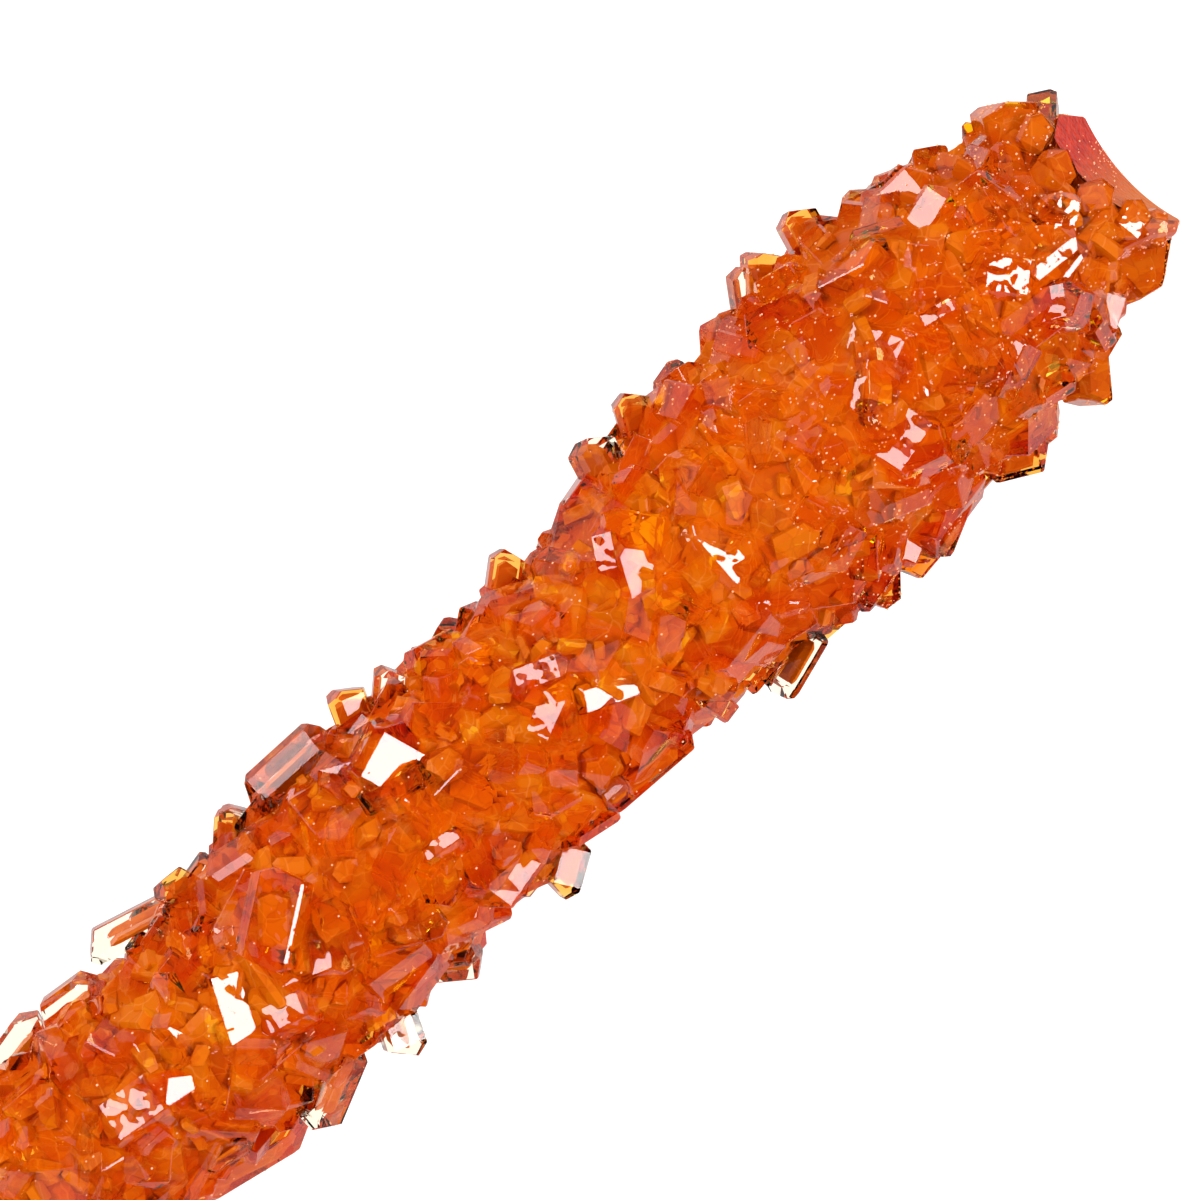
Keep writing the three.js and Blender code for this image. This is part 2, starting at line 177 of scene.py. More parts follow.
def points_and_faces(block):
    """The finished block as a list of points and a list of faces; the block itself goes."""
    bpy.ops.mesh.select_all(action="SELECT")
    bpy.ops.mesh.normals_make_consistent(inside=False)
    bpy.ops.object.mode_set(mode="OBJECT")
    points = np.array([vertex.co[:] for vertex in block.data.vertices])
    faces = [list(face.vertices) for face in block.data.polygons]
    bpy.data.objects.remove(block)
    return points, faces


def cut_crystal(width, thickness, ridge, corner, bevel):
    """A crystal of unit length as points and faces."""
    block = start_block()
    bpy.ops.transform.resize(value=(1, width, thickness))
    cut_long_sides(width / 2, thickness / 2, corner * min(width, thickness) / 2)
    cut_roofs(width / 2, thickness / 2, ridge)
    if bevel:
        bpy.ops.mesh.select_mode(type="EDGE")
        bpy.ops.mesh.select_all(action="DESELECT")
        bpy.ops.mesh.edges_select_sharp(sharpness=math.radians(SHARPEST))
        bpy.ops.mesh.bevel(offset=bevel, segments=1, affect="EDGES")
        bpy.ops.mesh.select_mode(type="VERT")
    return points_and_faces(block)


# width, thickness, share of the roof's ridge that is left, and size of the corner faces
PROPORTIONS = [
    (0.55, 0.38, 0.8, 0.45),
    (0.60, 0.30, 0.5, 0.30),
    (0.45, 0.45, 0.7, 0.50),
    (0.80, 0.40, 0.6, 0.40),
    (0.35, 0.30, 0.9, 0.40),
]
sharp_shapes = [cut_crystal(*sizes, bevel=0) for sizes in PROPORTIONS]
clear_shapes = [cut_crystal(*sizes, bevel=EDGE_BEVEL) for sizes in PROPORTIONS]
print("faces of a sharp crystal:", [len(faces) for _, faces in sharp_shapes])
print("faces of a clear crystal:", [len(faces) for _, faces in clear_shapes])

# %% [markdown]
# Hundreds of crystals as separate objects would be slow to handle. All crystals of one kind are
# therefore joined into one mesh as it is built. Two face attributes go with it: "tint", one value for
# a whole crystal, and "facet", another for each of its faces. The finishes read them later, so that no
# two crystals and no two faces have quite the same colour.


# %% Join many crystals into one piece
def kept_in_box(points):
    """Shifts a crystal inwards where it would stand out of the CAD solid's box."""
    low, high = points.min(axis=0), points.max(axis=0)
    return points + np.maximum(candy_low - low, 0) - np.maximum(high - candy_high, 0)


def turned(points, size, turn):
    """A shape's points at this size and turn, round its own middle."""
    return (points * size) @ np.array(turn.to_matrix()).T


def joined_mesh(name, parts):
    """One mesh from parts given as points in mm and faces."""
    all_points, all_faces, first = [], [], 0
    for points, faces in parts:
        all_points.append(points)
        all_faces += [[first + corner for corner in face] for face in faces]
        first += len(points)
    mesh = bpy.data.meshes.new(name)
    mesh.from_pydata((np.concatenate(all_points) * MM).tolist(), [], all_faces)
    return mesh


def join_crystals(name, crystals, shapes, seed):
    """One piece from crystals given as (shape number, size, turn, centre, tint)."""
    facet_luck = np.random.default_rng(seed)
    parts, tints, facets = [], [], []
    for shape, size, turn, centre, tint in crystals:
        points, faces = shapes[shape]
        parts.append((kept_in_box(turned(points, size, turn) + centre), faces))
        tints += [tint] * len(faces)
        facets += list(facet_luck.random(len(faces)))
    mesh = joined_mesh(name, parts)
    for attribute, values in (("tint", tints), ("facet", facets)):
        layer = mesh.attributes.new(attribute, "FLOAT", "FACE")
        layer.data.foreach_set("value", np.array(values, np.float32))
    return add_piece(name, mesh)


def add_piece(name, mesh):
    """A new object of the candy that stands for its CAD solid."""
    piece = bpy.data.objects.new(name, mesh)
    bpy.context.scene.collection.objects.link(piece)
    claim(piece, "candy")
    return piece


def claim(piece, node):
    """Ties a piece to the CAD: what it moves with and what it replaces."""
    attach(piece, "root")
    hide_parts(node)


print("crystals stay in a box of", (candy_high - candy_low).round(1), "mm")

# %% [markdown]
# At the candy's end a piece was pressed against the wall of its jar as it grew, which left a smooth
# hollow where crystals would be. A cylinder that leans back over the tip describes that hollow, and
# the crystals that would cross it are left out.

# %% Hollow at the tip
HOLLOW_RADIUS = 11.0
HOLLOW_CENTRE = place_on_candy(-10.9, -3.1, 1.5)
# degrees that it leans back, and that this lean turns to the left
HOLLOW_LEAN = 36.0
HOLLOW_TO_LEFT = 30.0
hollow_turn = Matrix.Rotation(math.radians(-HOLLOW_TO_LEFT), 3, "Z") @ Matrix.Rotation(
    math.radians(-HOLLOW_LEAN), 3, "Y"
)
hollow_axis = np.array(hollow_turn @ Vector((0, 0, 1)))


def depth_in_hollow(points):
    """How deep the deepest of these points is inside the hollow, in mm."""
    offsets = points - HOLLOW_CENTRE
    beside = offsets - np.outer(offsets @ hollow_axis, hollow_axis)
    return HOLLOW_RADIUS - np.linalg.norm(beside, axis=1).min()


print("hollow leans along", hollow_axis.round(2))

# %% [markdown]
# Most crystals have no special place. They are scattered in rows round the candy with a seeded random
# number generator, each lying at a slant to the surface and pushed in or out until its farthest corner
# meets the outline. Three layers are grown: a bed of large solid-looking crystals, a few small ones
# between them, and the clear ones on top.


# %% Scatter crystals over the candy
# where the rows start, how much shorter than the candy they are, and the fewest crystals in one
FIRST_ROW = 2.4
ROWS_SHORTER = 4.0
FEWEST_IN_ROW = 6
# how much of its own spacing a crystal may stray
JITTER = 0.7


def slanted_turn(outwards, heading, slant, roll):
    """A crystal's turn when its length leans by slant from straight out, in any heading."""
    outwards = Vector(outwards)
    along = Quaternion(outwards, heading) @ Vector((1, 0, 0))
    length_way = (outwards * math.cos(slant) + along * math.sin(slant)).normalized()
    return Vector((1, 0, 0)).rotation_difference(length_way) @ Quaternion((1, 0, 0), roll)


def scatter(spacing, cell, lengths, reaches, seed, keep=1.0, wide=(0.9, 1.3), slants=(45, 90)):
    """Crystals in rows round the candy, as (shape number, size, turn, centre, tint)."""
    luck = np.random.default_rng(seed)
    grown = []
    rows_length = CANDY_LENGTH - ROWS_SHORTER
    rows = round(rows_length / spacing)
    for row in range(rows):
        row_place = FIRST_ROW + rows_length * (row + 0.5) / rows
        cells = max(FEWEST_IN_ROW, round(2 * math.pi * reach_of_candy(row_place, math.pi / 2) / cell))
        for column in range(cells):
            angle = 2 * math.pi * (column + 0.5 * (row % 2) + JITTER * (luck.random() - 0.5)) / cells
            from_tip = row_place + JITTER * spacing * (luck.random() - 0.5)
            outwards = np.array([0, math.cos(angle), math.sin(angle)])
            heading = 2 * math.pi * luck.random()
            slant = math.radians(luck.uniform(*slants))
            turn = slanted_turn(outwards, heading, slant, 2 * math.pi * luck.random())
            length = luck.uniform(*lengths)
            size = np.array([length, length * luck.uniform(*wide), length * luck.uniform(*wide)])
            shape = int(luck.integers(len(PROPORTIONS)))
            reach = luck.uniform(*reaches) * reach_of_candy(from_tip, angle)
            tint, kept = luck.random(), luck.random() < keep
            if kept:
                grown.append(settle(shape, size, turn, from_tip, outwards, reach, tint))
    return [crystal for crystal in grown if clears_hollow(crystal)]


def settle(shape, size, turn, from_tip, outwards, reach, tint):
    """Pushes a crystal in or out until its farthest corner is at its reach."""
    corners = turned(sharp_shapes[shape][0], size, turn)
    stand = reach - (corners @ outwards).max()
    centre = place_on_candy(from_tip, 0, 0) + stand * outwards
    return shape, size, turn, centre, tint


def clears_hollow(crystal, allowed=0.2):
    """True if the crystal leaves the smooth hollow open."""
    shape, size, turn, centre, _ = crystal
    corners = turned(sharp_shapes[shape][0], size, turn) + centre
    return depth_in_hollow(corners) < allowed


# each with its row spacing, its spacing in a row, its lengths and its reaches
bed = scatter(2.6, 2.7, (3.0, 5.2), (0.81, 0.90), seed=12)
grit = scatter(1.8, 1.9, (1.2, 2.8), (0.84, 0.93), seed=13, keep=0.35)
clear_crowd = scatter(2.9, 3.0, (3.4, 6.4), (0.93, 1.0), seed=11, wide=(1.0, 1.5), slants=(50, 90))
print("bed", len(bed), "grit", len(grit), "clear", len(clear_crowd))

# %% [markdown]
# Some crystals stand out by their size, and those have known places: blocks and prisms along both
# sides, wedges at the tip and a few big ones on top. They are listed with their place, size and
# turn. The largest are in the CAD solid too, so they stand where it has them.

# %% Large crystals in their places
# from the tip, across, above the axis, (length, width, thickness), heading, rise, roll
END_BLOCK = (2.9, -0.9, 1.5, (10.2, 6.2, 6.2), 82, 0, 45)
TIP_CRYSTALS = [
    (5.6, 4.5, 1.4, (6.2, 4.4, 4.0), 60, 8, 20),
    (4.4, -5.2, 0.4, (6.4, 4.2, 4.4), 35, -6, 12),
    (11.6, -8.3, 0.6, (5.0, 2.8, 3.0), 52, 4, 30),
]
LEFT_CRYSTALS = [
    (18.4, 9.8, 0.8, (3.4, 2.8, 2.6), 75, 4, 12),
    (22.3, 9.6, 0.5, (3.6, 2.6, 2.6), 50, 10, 25),
    (33.9, 8.9, 0.9, (3.4, 2.7, 2.6), 62, 6, 10),
    (46.8, 7.4, 0.4, (3.8, 2.4, 2.4), 38, 0, 15),
    (59.4, 7.8, 1.2, (3.8, 3.0, 2.8), 66, 8, 20),
    (70.3, 7.8, 0.5, (3.6, 2.2, 2.2), 42, 5, 15),
    (74.4, 6.9, 1.8, (4.2, 2.6, 2.4), 105, 12, 30),
    (98.5, 7.6, 0.8, (6.0, 3.0, 2.8), -28, 6, 20),
]
RIGHT_CRYSTALS = [
    (18.4, -9.1, 0.2, (4.4, 3.0, 2.8), -30, 5, 28),
    (24.7, -8.8, 0.1, (4.4, 3.4, 3.2), 24, 0, 30),
    (30.1, -8.6, 0.5, (4.0, 3.2, 3.0), 48, 4, 12),
    (48.4, -6.9, 3.0, (7.0, 2.3, 2.4), -3, 4, 40),
    (56.4, -8.1, 0.2, (4.2, 2.4, 2.4), 30, 0, 20),
    (83.4, -7.0, 0.6, (10.2, 2.7, 2.8), -13, 0, -28),
    (97.0, -7.7, 0.9, (5.6, 3.2, 2.8), 26, 3, 18),
]
TOP_CRYSTALS = [
    (22.4, 0.0, 8.4, (5.0, 3.4, 2.6), 38, -4, 10),
    (59.6, 4.2, 6.2, (5.4, 4.4, 3.4), 18, -7, 24),
    (70.6, 1.8, 7.6, (6.2, 4.4, 3.4), 34, -5, -12),
]
# the few that light passes straight through
WATER_CLEAR = [
    (64.5, 7.9, 1.3, (6.6, 3.5, 3.2), -2, 2, -24),
    (77.8, 7.7, 0.9, (7.8, 2.7, 2.6), -17, 0, 22),
    (84.4, 7.0, 1.6, (4.6, 3.2, 2.4), -8, 6, 18),
    (89.6, 7.2, 0.7, (6.8, 3.2, 2.5), 10, 3, 12),
    (37.2, -8.9, -0.9, (5.0, 2.4, 2.6), 15, -5, 35),
    (70.9, -8.0, 0.5, (4.2, 2.8, 2.6), 64, 4, 22),
    (76.2, -7.5, 2.0, (5.9, 3.1, 2.8), 23, 4, -20),
    (56.7, 7.5, 1.5, (2.8, 2.2, 2.0), 40, 10, 20),
    (69.6, 7.9, 1.4, (3.0, 2.2, 2.0), 42, 5, 15),
    (83.3, -6.1, 4.2, (3.2, 1.6, 1.6), -10, 0, 0),
    (50.9, -6.8, 3.8, (2.2, 1.8, 1.8), -3, 4, 40),
    (37.5, 8.5, 1.0, (3.4, 2.8, 2.6), 74, 5, 35),
    (65.6, -7.7, 0.8, (3.4, 2.6, 2.4), -38, 6, 15),
    (73.4, 7.2, 1.6, (3.2, 2.0, 1.9), 10, 8, 30),
    (23.4, 9.6, 1.4, (3.2, 2.6, 2.2), 55, 10, 20),
    (8.6, -6.6, 3.2, (3.0, 2.0, 1.8), 30, 5, 15),
]
# small ones on the rim of the smooth hollow
RIM_CRYSTALS = [
    (4.4, 4.2, 3.8, (2.8, 2.2, 1.8), 20, 10, 10),
    (5.1, 1.8, 5.0, (2.6, 2.0, 1.7), 70, 5, 25),
    (4.8, -1.2, 5.0, (2.8, 2.2, 1.8), -30, 8, -10),
    (4.0, -3.6, 4.4, (2.8, 2.2, 1.8), 10, -5, 15),
    (3.0, -5.0, 3.0, (2.4, 1.8, 1.6), 40, 0, 30),
]


def placed_crystals(listed, seed):
    """Listed crystals in the form that join_crystals takes."""
    luck = np.random.default_rng(seed)
    made = []
    for from_tip, across, above, size, heading, rise, roll in listed:
        shape = int(luck.integers(len(PROPORTIONS)))
        scale = np.array(size) / np.array([1, *PROPORTIONS[shape][:2]])
        turn = Euler([math.radians(v) for v in (roll, -rise, heading)], "XYZ").to_quaternion()
        made.append((shape, scale, turn, place_on_candy(from_tip, across, above), luck.random()))
    return made


print("blocks along the sides:", len(LEFT_CRYSTALS) + len(RIGHT_CRYSTALS))
print("large crystals at the tip and on top:", len(TIP_CRYSTALS) + len(TOP_CRYSTALS))

# %% [markdown]
# A few faces on top lie just so that they mirror a lamp, and look white. A face does that when its
# normal points halfway between the eye and the lamp, so these tablets are laid by that rule. They
# mirror the lamp's left and right edges in turn, which keeps some of them from turning wholly white.

# %% Tablets that mirror the lamp
KEY_PLACE = np.array([-150.0, 550.0, 550.0])
KEY_SIZE = 300.0
EYE_PLACE = np.array([45.6, 2.3, AXIS_HEIGHT + 208.3])
# shape, from the tip, across, above the axis, (length, width, thickness), heading
SHINING = [
    (0, 11.8, -3.9, 6.9, (5.6, 3.0, 3.0), -36),
    (4, 16.9, 0.2, 8.7, (2.6, 1.4, 2.0), -20),
    (4, 15.8, -4.9, 7.2, (4.2, 2.0, 2.4), 12),
    (3, 23.7, -3.4, 7.2, (6.6, 4.4, 3.4), -78),
    (1, 40.9, 3.8, 6.4, (3.6, 1.6, 2.2), 60),
    (0, 49.2, 1.3, 6.7, (4.2, 2.2, 2.4), -27),
    (1, 50.3, -0.9, 6.5, (4.2, 2.0, 2.4), 20),
    (4, 60.5, -2.0, 7.2, (3.0, 1.4, 2.2), -10),
    (0, 74.2, -2.7, 6.8, (3.8, 2.4, 2.4), -20),
    (3, 85.0, -0.6, 6.7, (5.8, 3.4, 3.0), -7),
]


def turn_to_mirror(place, heading, beside):
    """A turn whose flat top mirrors the key lamp to the eye, or a part of it to one side."""
    to_eye = Vector(EYE_PLACE - place).normalized()
    to_lamp = Vector(KEY_PLACE + np.array([beside, 0, 0]) - place).normalized()
    upwards = (to_eye + to_lamp).normalized()
    along = Vector((math.cos(math.radians(heading)), math.sin(math.radians(heading)), 0))
    along = (along - upwards * along.dot(upwards)).normalized()
    return Matrix((along, upwards.cross(along), upwards)).transposed().to_quaternion()


def shining_crystals():
    """The mirroring tablets in the form that join_crystals takes."""
    made = []
    for shape, from_tip, across, above, size, heading in SHINING:
        place = place_on_candy(from_tip, across, above)
        scale = np.array(size) / np.array([1, *PROPORTIONS[shape][:2]])
        beside = KEY_SIZE * (0.5 if len(made) % 2 else -0.5)
        made.append((shape, scale, turn_to_mirror(place, heading, beside), place, 0.5))
    return made


print("shining tablets:", len(SHINING))

# %% [markdown]
# Under the crystals is solid candy. A smooth loft a little inside the outline fills every gap between
# them, so that no light leaks through the middle of the piece. It is a cylinder, cut into many rings
# and moved out to the outline ring by ring, and it keeps clear of the hollow.

# %% Solid candy inside
CORE_RINGS = 150
CORE_SIDES = 64
# how far it stays under the outline, its least radius, and where it starts and ends
CORE_BED = 2.0
LEAST_CORE = 2.9
CORE_START = 2.6
CORE_END = CANDY_LENGTH - 1.2


def pushed_out_of_hollow(point):
    """The point, or the nearest one that is safely outside the hollow."""
    offset = point - HOLLOW_CENTRE
    beside = offset - hollow_axis * (offset @ hollow_axis)
    missing = HOLLOW_RADIUS + CORE_BED - np.linalg.norm(beside)
    return point + beside / np.linalg.norm(beside) * max(missing, 0)


def grow_core():
    """A closed loft along the stick that stays under the crystals."""
    bpy.ops.object.select_all(action="DESELECT")
    bpy.ops.mesh.primitive_cylinder_add(vertices=CORE_SIDES, radius=1, depth=1)
    core = bpy.context.object
    core.name = "candy_core"
    bpy.ops.object.mode_set(mode="EDIT")
    for ring in range(1, CORE_RINGS - 1):
        height = -0.5 + ring / (CORE_RINGS - 1)
        bpy.ops.mesh.select_all(action="SELECT")
        bpy.ops.mesh.bisect(plane_co=(0, 0, height), plane_no=(0, 0, 1))
    bpy.ops.object.mode_set(mode="OBJECT")
    for vertex in core.data.vertices:
        from_tip = CORE_START + (CORE_END - CORE_START) * (vertex.co.z + 0.5)
        angle = math.atan2(vertex.co.x, vertex.co.y)
        reach = max(reach_of_candy(from_tip, angle) - CORE_BED, LEAST_CORE)
        point = place_on_candy(from_tip, reach * math.cos(angle), reach * math.sin(angle))
        vertex.co = Vector(pushed_out_of_hollow(point) * MM)
    return core


candy_core = grow_core()
claim(candy_core, "candy")
print("core faces:", len(candy_core.data.polygons))

# %% [markdown]
# Now the crystals become meshes. The clear crowd is parted by how its glass will look: wavy at the tip,
# where the real one half melted together, a browner amber along the sides, where it is seen against
# the table, and plain amber elsewhere. Each kind is one piece, so that it can have one finish.

# %% Sort the crystals into kinds
# length of the wavy tip, and how far above or below the axis a side crystal's middle may be
WAVY_TIP = 22.0
SIDE_BAND = 5.0


def at_tip(crystal):
    """True for a crystal near the tip, where the faces are wavier."""
    return crystal[3][0] > TIP_X - WAVY_TIP


def beside_stick(crystal):
    """True for a crystal that is seen against the table rather than against the candy."""
    return abs(crystal[3][2] - AXIS_HEIGHT) < SIDE_BAND


tip_crowd = [crystal for crystal in clear_crowd if at_tip(crystal)]
side_crowd = [crystal for crystal in clear_crowd if not at_tip(crystal) and beside_stick(crystal)]
top_crowd = [crystal for crystal in clear_crowd if not at_tip(crystal) and not beside_stick(crystal)]
side_blocks = placed_crystals(LEFT_CRYSTALS + RIGHT_CRYSTALS, seed=5)
tip_blocks = placed_crystals(TIP_CRYSTALS, seed=7)
top_blocks = placed_crystals(TOP_CRYSTALS, seed=7)
rim_blocks = placed_crystals(RIM_CRYSTALS, seed=8)
water_clear = placed_crystals(WATER_CLEAR, seed=6)
large_blocks = tip_blocks + top_blocks + rim_blocks
print("at the tip", len(tip_crowd), "along the sides", len(side_crowd), "elsewhere", len(top_crowd))

# %% Join each kind into its piece
candy_bed = join_crystals("candy_bed", bed, sharp_shapes, seed=99)
candy_grit = join_crystals("candy_grit", grit, sharp_shapes, seed=98)
candy_clear = join_crystals("candy_clear", top_crowd, clear_shapes, seed=97)
candy_sides = join_crystals("candy_sides", side_crowd, clear_shapes, seed=92)
candy_tip = join_crystals("candy_tip", tip_crowd, clear_shapes, seed=88)
candy_blocks = join_crystals("candy_side_blocks", side_blocks, clear_shapes, seed=96)
candy_large = join_crystals("candy_large", large_blocks, clear_shapes, seed=90)
candy_shining = join_crystals("candy_shining", shining_crystals(), clear_shapes, seed=91)
candy_water_clear = join_crystals("candy_water_clear", water_clear, clear_shapes, seed=95)
for piece in (candy_bed, candy_grit, candy_clear, candy_sides, candy_tip, candy_large, candy_water_clear):
    print(piece.name, len(piece.data.polygons), "faces")

# %% [markdown]
# A large clear crystal isn't empty: flaws and growth layers inside it catch the light and hold its deep
# colour. A smaller solid crystal in the middle of each one stands for them. It is turned a little, so
# that the clear skin round it isn't equally thick, and in the almost colourless ones it is only a thin
# streak.

# %% Insides of the large crystals
# a streak's share of its crystal's length, width and thickness
STREAK_SHARE = np.array([0.6, 0.15, 0.6])


def insides(crystals, share, tilt, seed):
    """Smaller crystals, each turned by up to tilt degrees, for the middles of clear ones."""
    luck = np.random.default_rng(seed)
    made = []
    for shape, scale, turn, centre, tint in crystals:
        tilted = turn @ Euler(np.radians(luck.uniform(-tilt, tilt, 3))).to_quaternion()
        made.append((shape, scale * share, tilted, centre, tint))
    return made


all_insides = insides(top_blocks, share=0.55, tilt=12, seed=21)
all_insides += insides(tip_blocks + rim_blocks, share=0.86, tilt=4, seed=22)
all_insides += insides(side_blocks, share=0.6, tilt=8, seed=23)
all_insides += insides(water_clear, share=STREAK_SHARE, tilt=6, seed=24)
candy_insides = join_crystals("candy_insides", all_insides, sharp_shapes, seed=89)
print("insides:", len(all_insides))

# %% [markdown]
# The block at the very end is one big crystal. The hollow is cut out of it with the cylinder that the
# other crystals were kept clear of, so its wall is smooth and its rims are sharp. Its solid inside is cut
# a little deeper, which leaves a clear skin on the wall as well.

# %% End block with the smooth hollow
INSIDE_SHARE = 0.9
SKIN = 0.3
HOLLOW_SIDES = 128
HOLLOW_LENGTH = 80.0
# a face this close to the cylinder belongs to the hollow's wall
ON_THE_WALL = 0.05


def cut_hollow(block, radius):
    """Cuts the cylinder of the hollow out of a block."""
    bpy.ops.object.select_all(action="DESELECT")
    bpy.ops.mesh.primitive_cylinder_add(
        vertices=HOLLOW_SIDES,
        radius=radius * MM,
        depth=HOLLOW_LENGTH * MM,
        location=HOLLOW_CENTRE * MM,
        rotation=hollow_turn.to_euler(),
    )
    cutter = bpy.context.object
    bpy.ops.object.select_all(action="DESELECT")
    bpy.context.view_layer.objects.active = block
    block.select_set(True)
    cut = block.modifiers.new("hollow", "BOOLEAN")
    cut.operation = "DIFFERENCE"
    cut.solver = "EXACT"
    cut.object = cutter
    bpy.ops.object.modifier_apply(modifier=cut.name)
    bpy.data.objects.remove(cutter)


def mark_hollow(block):
    """Gives the hollow's own faces the second material slot."""
    for face in block.data.polygons:
        depth = depth_in_hollow(np.array([face.center[:]]) / MM)
        face.material_index = int(abs(depth) < ON_THE_WALL)


end_block = placed_crystals([END_BLOCK], seed=3)
candy_end = join_crystals("candy_end", end_block, clear_shapes, seed=94)
end_inside = insides(end_block, share=INSIDE_SHARE, tilt=0, seed=0)
candy_end_inside = join_crystals("candy_end_inside", end_inside, sharp_shapes, seed=94)
cut_hollow(candy_end, HOLLOW_RADIUS)
cut_hollow(candy_end_inside, HOLLOW_RADIUS + SKIN)
mark_hollow(candy_end)
hollow_faces = sum(face.material_index for face in candy_end.data.polygons)
core_points = np.array([vertex.co[:] for vertex in candy_core.data.vertices]) / MM
print("end block:", len(candy_end.data.polygons), "faces,", hollow_faces, "of them in the hollow")
print("core reaches", round(depth_in_hollow(core_points), 2), "mm into the hollow")

# %% [markdown]
# Tiny grains of sugar stick to the faces, mostly near the tip, and sparkle as white dots. Each is a
# cube without its corners, as loose sugar is, and a ray cast inwards from outside finds the face that
# it lies on.

# %% Sugar grains on the faces
GRAIN_SEED = 61
GRAINS_AT_TIP = 2600
GRAINS_ALONG = 1300
TIP_GRAINS_END = 32.0
GRAIN_SIZES = (0.05, 0.14)
# how far along each axis the cuts are that take a grain's corners off
GRAIN_CORNER = 0.34
# the rays start this far from the axis
OUTSIDE_CANDY = 16.0


def cut_grain():
    """A grain of unit size: a cube with every corner cut off."""
    grain = start_block()
    for x, y, z in product((1, -1), repeat=3):
        cut_with_plane((x * GRAIN_CORNER, y * GRAIN_CORNER, z * GRAIN_CORNER), (x, y, z))
    return points_and_faces(grain)


def surface_of(pieces):
    """A search tree over the faces of several pieces, in mm."""
    points, faces, first = [], [], 0
    for piece in pieces:
        points += [vertex.co / MM for vertex in piece.data.vertices]
        faces += [[first + corner for corner in face.vertices] for face in piece.data.polygons]
        first = len(points)
    return BVHTree.FromPolygons(points, faces)


def strew_grains(surface, grain):
    """Grains as points and faces, each on the first face below it."""
    luck = np.random.default_rng(GRAIN_SEED)
    parts = []
    for number in range(GRAINS_AT_TIP + GRAINS_ALONG):
        reach_back = TIP_GRAINS_END if number < GRAINS_AT_TIP else CANDY_LENGTH - ROWS_SHORTER
        from_tip = 1 + (reach_back - 1) * luck.random()
        angle = 2 * math.pi * luck.random()
        outwards = Vector((0, math.cos(angle), math.sin(angle)))
        start = Vector(place_on_candy(from_tip, 0, 0)) + outwards * OUTSIDE_CANDY
        hit = surface.ray_cast(start, -outwards)[0]
        size = luck.uniform(*GRAIN_SIZES) * np.array([1.0, luck.uniform(0.6, 1), luck.uniform(0.6, 1)])
        if hit is not None:
            parts.append((kept_in_box(grain[0] * size + np.array(hit)), grain[1]))
    return parts


outer_faces = surface_of(
    [candy_clear, candy_sides, candy_tip, candy_large, candy_blocks, candy_bed, candy_end]
)
grain_parts = strew_grains(outer_faces, cut_grain())
candy_grains = add_piece("candy_grains", joined_mesh("candy_grains", grain_parts))
print("grains:", len(grain_parts))

# %% [markdown]
# The stick is a plain birch dowel, turned and cut to length, with lightly rounded ends. A cylinder of
# the CAD stick's size needs only a bevel round both end faces.

# %% Birch stick
STICK_EDGE = 0.4
STICK_SIDES = 64
ROUNDING_STEPS = 4


def turn_stick():
    """A dowel of the CAD stick's length and thickness, with rounded ends."""
    length = stick_high[0] - stick_low[0]
    middle = (stick_high + stick_low) / 2
    bpy.ops.object.select_all(action="DESELECT")
    bpy.ops.mesh.primitive_cylinder_add(
        vertices=STICK_SIDES,
        radius=(stick_high[2] - stick_low[2]) / 2 * MM,
        depth=length * MM,
        location=middle * MM,
        rotation=(0, math.radians(90), 0),
    )
    dowel = bpy.context.object
    dowel.name = "stick_dowel"
    bpy.ops.object.transform_apply(location=True, rotation=True, scale=True)
    bpy.ops.object.mode_set(mode="EDIT")
    bpy.ops.mesh.select_all(action="DESELECT")
    bpy.ops.object.mode_set(mode="OBJECT")
    for face in dowel.data.polygons:
        face.select = abs(face.normal.x) > 0.9
    bpy.ops.object.mode_set(mode="EDIT")
    bpy.ops.mesh.select_mode(type="FACE")
    bpy.ops.mesh.region_to_loop()
    bpy.ops.mesh.bevel(offset=STICK_EDGE * MM, segments=ROUNDING_STEPS, affect="EDGES")
    bpy.ops.object.mode_set(mode="OBJECT")
    bpy.ops.object.shade_smooth_by_angle(angle=math.radians(40))
    return dowel


stick_dowel = turn_stick()
claim(stick_dowel, "stick")
print("stick:", round(stick_high[0] - stick_low[0], 1), "mm long")

# %% [markdown]
# Colours are written as they would be picked on a screen and turned into light values by one
# function. One small helper adds a node with its settings and links in a single call.


# %% Colour and node helpers
def colour(hex_code):
    """A screen colour as the linear light values that Blender uses."""
    parts = [int(hex_code[i : i + 2], 16) / 255 for i in (0, 2, 4)]
    return tuple(p / 12.92 if p <= 0.04045 else ((p + 0.055) / 1.055) ** 2.4 for p in parts) + (1,)


def add_node(tree, kind, inputs=None, **settings):
    """Adds a shader node of a kind, sets its options, and links or fills its inputs."""
    made = tree.nodes.new("ShaderNode" + kind)
    for setting, value in settings.items():
        setattr(made, setting, value)
    for socket, value in (inputs or {}).items():
        if isinstance(value, bpy.types.NodeSocket):
            tree.links.new(value, made.inputs[socket])
        else:
            made.inputs[socket].default_value = value
    return made


def new_material(name):
    """A material with its tree and its main shader."""
    material = bpy.data.materials.new(name)
    material.use_nodes = True
    return material, material.node_tree, material.node_tree.nodes["Principled BSDF"]


SUGAR_IOR = 1.54
print("a screen's mid grey as light:", round(colour("808080")[0], 3))

# %% [markdown]
# Deep candy lets so much light wander about inside that it looks like a solid orange body under a
# glossy skin. Each crystal has its own tint, each face another, and finer patches stand for the flaws
# and faces below the surface that break up what is seen through them. Thin brown lines on the patches'
# borders are the edges of those flaws, and thin bright lines on them are painted glints off those edges.

# %% Orange sugar below the surface
DEEP_RED = "bc4c04"
PLAIN_ORANGE = "cc6205"
PALE_ORANGE = "ea9c16"
LINE_BROWN = "a83c06"
# colour of the thin bright lines, which are painted glints off the flaws' edges
PAINTED_GLINT_LINE = "f0a050"
